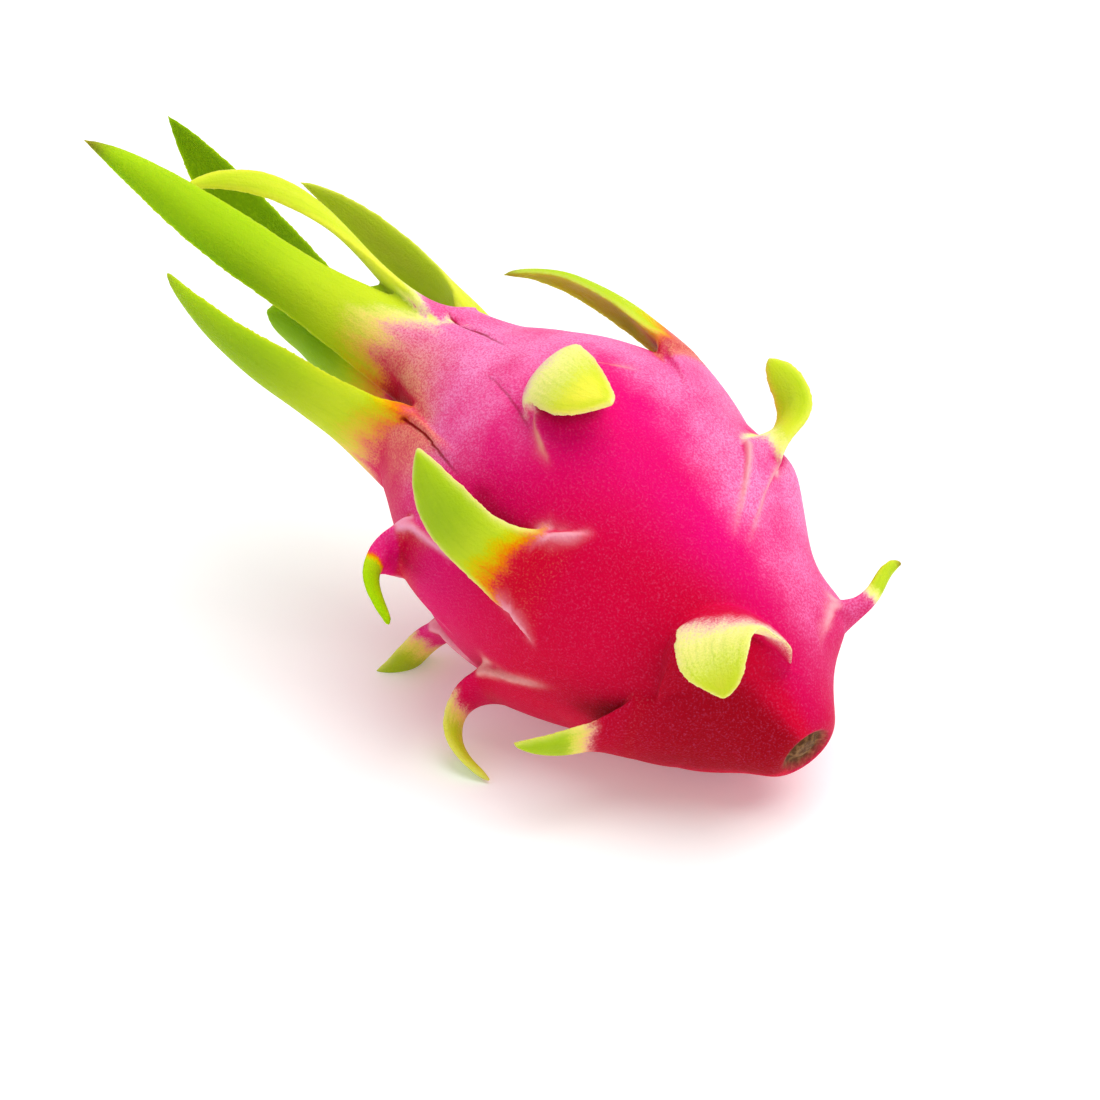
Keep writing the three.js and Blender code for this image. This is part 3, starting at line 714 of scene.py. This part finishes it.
def shelter(mesh):
    """How much of its near surroundings hides each point of the mesh: 0 in the open, 1 in a pit."""
    points, normals = mesh_points(mesh), mesh_normals(mesh)
    tree = bvhtree.BVHTree.FromPolygons(points.tolist(), [tuple(face.vertices) for face in mesh.polygons])
    number = np.arange(SKY_RAYS) + 0.5
    height = 1 - 2 * number / SKY_RAYS
    turns = np.pi * (1 + 5**0.5) * number
    width = np.sqrt(1 - height**2)
    ways = np.stack([width * np.cos(turns), width * np.sin(turns), height], 1)
    facing = np.maximum(normals @ ways.T - RAY_SLANT, 0)
    hidden = np.zeros(len(points))
    starts = points + normals * RAY_LIFT
    directions = [Vector(way) for way in ways]
    for vertex, ray in zip(*np.nonzero(facing)):
        if tree.ray_cast(starts[vertex], directions[ray], SKY_REACH)[0] is not None:
            hidden[vertex] += facing[vertex, ray]
    return hidden / np.maximum(facing.sum(1), 1)


def turning_green(own, share, across, number):
    """How far along its scale each point is, as a share, shifted where it turns sooner or later."""
    length = own("length")
    streaks = np.array([noise.noise(Vector((a * w / STREAK_WIDTH, t * l / STREAK_LENGTH, n)))
                        for a, w, t, l, n in zip(across, own("middle"), share, length, number)])
    grown = np.where(share < 0, share * own("run"), share * length)
    edge_lead = EDGE_LEAD * (across**2 - EDGE_LEAD_LEVEL) * smoothstep(share, -0.05, 0.1)
    lead = ((edge_lead + STREAK_SIZE * streaks) * np.minimum(own("fade"), LONGEST_STREAK)
            + SLANT_LEAD * own("slant") * across / length)
    return grown / length + lead * (1 - smoothstep(share, 0.2, 0.6))


def scale_looks(share, across, inner, edge, number, belongs):
    """The look values that come from the nearest scale and the place on it."""
    def own(field):
        return np.array([getattr(scale, field) for scale in SCALES.values()])[number]

    on_run = np.clip(1 + np.minimum(share, 0), 0, 1)
    near_edge = (1 - smoothstep(edge, 0.3, 1.3)) * belongs
    band = np.maximum(own("band"), THINNEST_BAND) * np.maximum(on_run, FAR_BAND)
    fiery = np.clip(own("fiery") + own("lopsided") * across, 0, 1)
    turning = turning_green(own, share, across, number)
    return {
        "green": np.clip((turning - own("blush")) / own("fade"), 0, 1) * belongs,
        "tipward": np.clip(share, 0, 1) * belongs,
        "edge": near_edge * own("rimmed") * smoothstep(share, 0.0, 0.2),
        "ridge": (1 - smoothstep(edge, 0.3 * band, band)) * belongs * smoothstep(on_run, 0.15, 0.6)
                 * (share < 0.1) * (own("band") > 0) * np.minimum(own("ridge"), 1),
        "inner": inner * (share > 0) * belongs,
        "verge": smoothstep(edge, 0.8, 1.8) * (1 - smoothstep(edge, 2.5, 5)) * smoothstep(share, 0.2, 0.5),
        "flush": fiery * smoothstep(share / own("flushed"), -1, -0.1) * (share < 0.1) * belongs,
        "yellow": own("yellow"),
        "fiery": fiery,
        "dry": own("browned") * smoothstep(share, 0.9, 1.0) * belongs,
        "grain_along": share * own("length"),
        "grain_across": across * own("middle") / 2,
    }


def body_looks(points, belongs):
    """The look values that come from the place on the body."""
    off_axis = np.hypot(points[:, 0], points[:, 1])
    station = points[:, 2] / FLANK[-1][0]
    around = np.arctan2(points[:, 1], points[:, 0])
    upper = smoothstep(np.cos(around), -0.1, 0.6)
    beyond_scar = off_axis / STEM_SCAR[-1][1] + np.maximum(points[:, 2] - SCAR_HEIGHT, 0)
    return {
        "station": station,
        # mealy bloom, partly painted sheen: paler towards the crown, more on the upper side, and on the far
        # side
        "bloom_and_sheen": np.maximum(smoothstep(station, 0.5, 0.8) * (0.5 + 0.5 * upper),
                            smoothstep(station, -0.05, 0.35)
                            * smoothstep(np.cos(around - BLOOM_AND_SHEEN_AROUND), 0.5, 0.85)),
        # painted shade, partly the fruit's own deeper red: the near side, most towards the stem end
        "shade": smoothstep(np.cos(around - SHADE_AROUND), 0.0, 0.9)
                 * (1 - 0.6 * smoothstep(station, 0.3, 0.8) - 0.4 * smoothstep(station, 0.05, 0.4)),
        "scar": 1 - smoothstep(beyond_scar, 0.75, 1.0),
        "cup": smoothstep(points[:, 2], *CUP_STARTS) * (1 - smoothstep(off_axis, *CUP_EDGE)) * (1 - belongs),
    }


def look_values(points, normals, creases, sheltered, tree, values):
    """How green, pale, dry and so on each point of the skin is, by name."""
    index, distance = nearest_in(tree, points)
    share, across, inner, edge, number = values[index].T
    belongs = 1 - smoothstep(distance, *BELONGS)
    return {
        **scale_looks(share, across, inner, edge, number.astype(int), belongs),
        **body_looks(points, belongs),
        # painted light: skin that faces up is coloured lighter
        "painted_top_light": smoothstep(normals[:, 2], -0.1, 0.9),
        "crease": creases[:, 0],
        "crease_aside": creases[:, 1],
        # how hidden each point is; the material paints shade in hollows from it
        "sheltered": sheltered,
    }


def add_look_values(skin, turn, creases, tree, values):
    """Stores the look values in the mesh, each evened out a little over its neighbours."""
    edges = mesh_edges(skin.data)
    looks = look_values(mesh_points(skin.data), mesh_normals(skin.data) @ turn.T, creases,
                        shelter(skin.data), tree, values)
    table = np.stack(list(looks.values()), 1)
    table = smoothed(table, edges, np.full(len(table), VALUE_EVENING), VALUE_ROUNDS)
    for name, column in zip(looks, table.T):
        layer = skin.data.attributes.new(name, "FLOAT", "POINT")
        layer.data.foreach_set("value", column.astype(np.float32))


# ---- Materials ----

class Nodes:
    """A small helper for wiring one material's nodes."""

    def __init__(self, material):
        material.use_nodes = True
        self.tree = material.node_tree
        self.shader = self.tree.nodes["Principled BSDF"]

    def plug(self, value, socket):
        """Links a socket, or sets a plain value on it."""
        if isinstance(value, bpy.types.NodeSocket):
            self.tree.links.new(value, socket)
        else:
            socket.default_value = value

    def look(self, settings):
        """Plugs the shader's own inputs, by name."""
        for name, value in settings.items():
            self.plug(value, self.shader.inputs[name])

    def add(self, kind, inputs, **settings):
        node = self.tree.nodes.new(kind)
        for key, value in settings.items():
            setattr(node, key, value)
        for key, value in inputs.items():
            self.plug(value, node.inputs[key])
        return node

    def value(self, name):
        return self.add("ShaderNodeAttribute", {}, attribute_name=name).outputs["Fac"]

    def ramp(self, factor, stops):
        node = self.add("ShaderNodeValToRGB", {"Fac": factor})
        elements = node.color_ramp.elements
        while len(elements) < len(stops):
            elements.new(0.5)
        for element, (place, colour) in zip(elements, stops):
            element.position = place
            element.color = colour
        return node.outputs["Color"]

    def step(self, value, low, high):
        """0 at low and 1 at high, with a smooth rise between them."""
        if low > high:
            return self.math("SUBTRACT", 1.0, self.step(value, high, low))
        return self.add("ShaderNodeMapRange", {"Value": value, "From Min": low, "From Max": high},
                        interpolation_type="SMOOTHSTEP").outputs["Result"]

    def math(self, operation, a, b):
        return self.add("ShaderNodeMath", {0: a, 1: b}, operation=operation).outputs["Value"]

    def times(self, a, b):
        return self.math("MULTIPLY", a, b)

    def plus(self, a, b):
        return self.math("ADD", a, b)

    def mix(self, factor, a, b):
        node = self.add("ShaderNodeMix", {0: factor, 6: a, 7: b}, data_type="RGBA")
        return node.outputs[2]

    def tint(self, base, over, value, most, rise=None):
        """Covers a colour with another one, by most where the value is full or at the end of its rise."""
        shown = self.step(value, *rise) if rise else value
        return self.mix(self.times(shown, most), base, over)

    def noise(self, per_metre, detail=2.0, place=None):
        place = place or self.add("ShaderNodeTexCoord", {}).outputs["Object"]
        return self.add("ShaderNodeTexNoise", {"Vector": place, "Scale": per_metre,
                                               "Detail": detail}).outputs["Fac"]


def colour(red, green, blue):
    """A display colour (0 to 255) as the linear light values that shaders use."""
    share = np.array([red, green, blue]) / 255
    linear = np.where(share <= 0.04045, share / 12.92, ((share + 0.055) / 1.055)**2.4)
    return (*map(float, linear), 1.0)


MAGENTA = colour(236, 0, 120)
DEEP_MAGENTA = colour(206, 0, 70)
SHADE_RED = colour(214, 0, 46)
CRIMSON = colour(146, 0, 10)
BLOOD_RED = colour(206, 0, 34)
# pale pinks of the mealy bloom, partly painted sheen
BLOOM_AND_SHEEN_PINK = colour(252, 132, 204)
PALE_BLOOM_AND_SHEEN = colour(255, 160, 216)
RIDGE_PINK = colour(252, 176, 208)
PEACH = colour(250, 180, 144)
RED = colour(226, 10, 34)
ORANGE = colour(240, 120, 0)
AMBER = colour(224, 200, 0)
BLUSH_WHITE = colour(252, 206, 200)
CREAM = colour(255, 250, 148)
LEMON = colour(242, 242, 76)
LIME = colour(190, 220, 0)
PALE_LIME = colour(206, 226, 36)
PAINTED_LIT_LEAF = colour(160, 204, 0)
# painted light: a lighter leaf green used where light falls on a scale or shines through it
LEAF_GREEN = colour(118, 172, 0)
DARK_LEAF = colour(62, 118, 0)
OLIVE = colour(160, 190, 0)
PALE_EDGE = colour(246, 244, 160)
DRY_BROWN = colour(124, 88, 44)
BARK = colour(140, 104, 66)
DARK_BARK = colour(96, 64, 40)


def rind_material():
    material = bpy.data.materials.new("dragon_fruit_rind")
    nodes = Nodes(material)
    grain = nodes.noise(MEAL_GRAIN, 3.0)
    green = mealy_green(nodes, grain)
    ridge = nodes.mix(nodes.value("yellow"), RIDGE_PINK, PEACH)
    body = nodes.tint(skin_colour(nodes, grain), ridge, nodes.value("ridge"), most=0.85)
    grown = nodes.mix(nodes.step(green, 0.0, 0.35), body, leaf_colour(nodes, green))
    # painted shade: crimson along the bottom of each crease
    ended = nodes.mix(crease_line(nodes), grown, CRIMSON)
    for name in ["scar", "cup"]:
        ended = nodes.mix(nodes.value(name), ended, bark_colour(nodes))
    gloss = nodes.add("ShaderNodeMapRange", {"Value": nodes.noise(GLOSS_PATCHES), "To Min": ROUGHNESS[0],
                                             "To Max": ROUGHNESS[1]}).outputs["Result"]
    depth = nodes.plus(SKIN_DEPTH, nodes.times(nodes.value("green"), LEAF_DEPTH))
    nodes.look({"Base Color": ended, "Normal": surface_bump(nodes, grain), "Roughness": gloss,
                "Subsurface Weight": depth, **SKIN_SHADER})
    return material


def skin_colour(nodes, grain):
    """Magenta skin: red and crimson as painted shade on the near, lower side and in hollows, partly its own
    deeper red, and mealy bloom, partly painted sheen, where it is not.
    """
    shade = nodes.value("shade")
    fresh = nodes.ramp(nodes.value("station"), [(0.0, DEEP_MAGENTA), (0.3, MAGENTA), (1.0, MAGENTA)])
    fresh = nodes.tint(fresh, SHADE_RED, nodes.noise(RED_PATCHES), most=0.25, rise=(0.5, 0.7))
    # painted shade: red on the near, lower side, partly the fruit's own deeper red
    fresh = nodes.tint(fresh, SHADE_RED, shade, most=0.9, rise=(0.0, 0.6))
    fresh = nodes.tint(fresh, BLOOD_RED, nodes.value("flush"), most=0.8)
    # painted shade: crimson on the most shaded side and in sheltered hollows
    deep = nodes.plus(nodes.step(shade, 0.65, 1.0), nodes.step(nodes.value("sheltered"), 0.25, 0.75))
    fresh = nodes.tint(fresh, CRIMSON, deep, most=0.8)
    cover, pale = mealy_bloom_and_sheen(nodes, grain)
    return nodes.mix(cover, fresh, pale)


def mealy_bloom_and_sheen(nodes, grain):
    """How much the bloom covers, and its colour: an even veil, thicker on the grain and in patches, partly
    painted sheen.
    """
    flush = nodes.value("flush")
    patches = nodes.times(nodes.plus(nodes.noise(BLOOM_PATCHES, 4.0), -0.5), 1.6)
    unflushed = nodes.plus(1.0, nodes.times(flush, -0.3))
    # kept out of sheltered hollows, which leaves them darker as painted shade
    open_bloom_and_sheen = nodes.times(nodes.times(nodes.value("bloom_and_sheen"), unflushed),
                             nodes.step(nodes.value("sheltered"), 0.45, 0.1))
    bloom_and_sheen = nodes.plus(open_bloom_and_sheen, nodes.times(patches, nodes.step(open_bloom_and_sheen, 0.0, 0.4)))
    mealy = nodes.step(nodes.plus(grain, nodes.times(bloom_and_sheen, 0.15)), 0.48, 0.8)
    even = nodes.times(nodes.step(bloom_and_sheen, 0.0, 1.3), 0.3)
    cover = nodes.plus(even, nodes.times(mealy, nodes.plus(0.13, nodes.times(even, 1.3))))
    pale = nodes.mix(nodes.value("bloom_and_sheen"), BLOOM_AND_SHEEN_PINK, PALE_BLOOM_AND_SHEEN)
    return cover, nodes.mix(nodes.step(flush, 0.1, 0.7), pale, PEACH)


def crease_line(nodes):
    """Where painted shade goes: 1 along the bottom of a crease, 0 away from it."""
    aside = nodes.math("ABSOLUTE", nodes.value("crease_aside"), 0.0)
    return nodes.times(nodes.step(aside, 0.55, 0.1), nodes.value("crease"))


def mealy_green(nodes, grain):
    """How green the skin is, uneven by the rind's mealy grain and the veins where it turns."""
    green = nodes.value("green")
    uneven = nodes.plus(nodes.times(nodes.plus(grain, -0.5), 0.4),
                        nodes.times(nodes.plus(leaf_veins(nodes), -0.5), 0.2))
    turning = nodes.times(nodes.step(green, 0.0, 0.15), nodes.step(green, 1.0, 0.75))
    return nodes.plus(green, nodes.times(uneven, turning))


def leaf_colour(nodes, green):
    """Scale flesh: reddish or pale by the rind, then yellow-green, deeper green towards the tip, with
    painted light: lighter where it faces up, and on the inner side near the base.
    """
    yellow = nodes.value("yellow")
    fiery = nodes.value("fiery")
    far = nodes.step(nodes.value("tipward"), 0.1, 0.6)
    # painted light: lighter green where the scale faces up
    fresh = nodes.mix(nodes.value("painted_top_light"), LEAF_GREEN, PAINTED_LIT_LEAF)
    outer = nodes.mix(far, PALE_LIME, fresh)
    # painted light: the inner side is light green near the base, as if lit through the scale
    inner = nodes.mix(fiery, nodes.mix(far, PAINTED_LIT_LEAF, DARK_LEAF), OLIVE)
    flesh = nodes.mix(nodes.value("inner"), nodes.mix(yellow, outer, LEMON), nodes.mix(yellow, inner, LEMON))
    flesh = nodes.mix(nodes.times(nodes.value("verge"), nodes.times(yellow, 0.6)), flesh, LIME)
    glow = nodes.ramp(green, [(0.0, RED), (0.3, ORANGE), (0.6, AMBER), (1.0, LIME)])
    soft = nodes.ramp(green, [(0.0, RIDGE_PINK), (0.2, BLUSH_WHITE), (0.45, CREAM), (1.0, LIME)])
    leaf = nodes.mix(nodes.step(green, 0.65, 1.0), nodes.mix(fiery, soft, glow), flesh)
    leaf = nodes.tint(leaf, LEAF_GREEN, leaf_veins(nodes), most=0.14, rise=(0.45, 0.75))
    leaf = nodes.tint(leaf, LIME, nodes.noise(LEAF_SPECKS, 3.0), most=0.14, rise=(0.5, 0.75))
    rimmed = nodes.mix(nodes.value("edge"), leaf, PALE_EDGE)
    return nodes.mix(nodes.value("dry"), rimmed, DRY_BROWN)


def leaf_veins(nodes):
    """Noise drawn out along the scale."""
    grain = nodes.add("ShaderNodeCombineXYZ", {"X": nodes.times(nodes.value("grain_along"), VEIN_STRETCH),
                                               "Y": nodes.value("grain_across")}).outputs["Vector"]
    return nodes.noise(VEINS, 3.0, grain)


def bark_colour(nodes):
    """The corky scar of the stem and the dry hollow in the crown."""
    return nodes.mix(nodes.step(nodes.noise(BARK_GRAIN, 4.0), 0.4, 0.65), DARK_BARK, BARK)


def surface_bump(nodes, grain):
    """Fine mealy grain, and faint veins along the scales."""
    veins = nodes.times(leaf_veins(nodes), nodes.value("tipward"))
    height = nodes.plus(nodes.times(grain, BUMP_WEIGHT), nodes.times(veins, BUMP_WEIGHT))
    return nodes.add("ShaderNodeBump", {"Height": height, **BUMP}).outputs["Normal"]


# ---- The stage ----

def white_material(name):
    material = bpy.data.materials.new(name)
    Nodes(material).look(FLOOR_SHADER)
    return material


def make_stage():
    corners = np.array([[-1, -1, 0], [1, -1, 0], [1, 1, 0], [-1, 1, 0]]) * FLOOR_HALF
    floor = mesh_object("floor", corners, [[0, 1, 2, 3]])
    floor.data.materials.append(white_material("floor_white"))
    world = bpy.data.worlds.new("studio")
    world.use_nodes = True
    background = world.node_tree.nodes["Background"]
    background.inputs["Color"].default_value = WHITE
    background.inputs["Strength"].default_value = WORLD_STRENGTH
    bpy.context.scene.world = world
    bpy.context.scene.view_settings.view_transform = "Standard"


def make_light():
    """One wide, soft light from above, a little from the right of the photograph."""
    light = bpy.data.lights.new("key", "SUN")
    light.energy = SUN_STRENGTH
    light.angle = SUN_SPREAD
    lamp = bpy.data.objects.new("key", light)
    lamp.rotation_euler = Vector(SUN_FROM).to_track_quat("Z", "Y").to_euler()
    bpy.context.scene.collection.objects.link(lamp)


def make_camera(turn, shift):
    """Places the camera so that the body's centre falls where it does in the photograph."""
    azimuth, elevation = np.radians([CAMERA_AZIMUTH, CAMERA_ELEVATION])
    forward = np.array([-np.sin(azimuth) * np.cos(elevation), np.cos(azimuth) * np.cos(elevation),
                        -np.sin(elevation)])
    right = np.array([np.cos(azimuth), np.sin(azimuth), 0])
    up = np.cross(right, forward)
    centre = (turn @ np.array([0, 0, BODY_CENTRE_ALONG]) + shift) * METRES
    metres_per_pixel = CAMERA_DISTANCE * SENSOR_MM / LENS_MM / FRAME_PIXELS
    off_x = (BODY_CENTRE_PIXEL[0] - FRAME_PIXELS / 2) * metres_per_pixel
    off_y = (BODY_CENTRE_PIXEL[1] - FRAME_PIXELS / 2) * metres_per_pixel
    data = bpy.data.cameras.new("camera")
    data.lens = LENS_MM
    data.sensor_width = SENSOR_MM
    data.clip_start = 0.01
    camera = bpy.data.objects.new("camera", data)
    place = centre - forward * CAMERA_DISTANCE - right * off_x + up * off_y
    axes = np.stack([right, up, -forward], 1)
    camera.matrix_world = Matrix.Translation(Vector(place)) @ Matrix(axes.tolist()).to_4x4()
    bpy.context.scene.collection.objects.link(camera)
    bpy.context.scene.camera = camera


# ---- Putting it together ----

noise.seed_set(SEED)
turn, shift = fruit_to_part()
make_camera(turn, shift)
make_stage()
make_light()

skin, creases, tree, values = make_skin()
add_look_values(skin, turn, creases, tree, values)
set_points(skin.data, warped(mesh_points(skin.data)) @ turn.T + shift)
trim_at_surface(skin)
skin.data.transform(Matrix.Scale(METRES, 4))
skin.data.shade_smooth()
skin.data.materials.append(rind_material())
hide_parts("dragon_fruit")
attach(skin, "root")
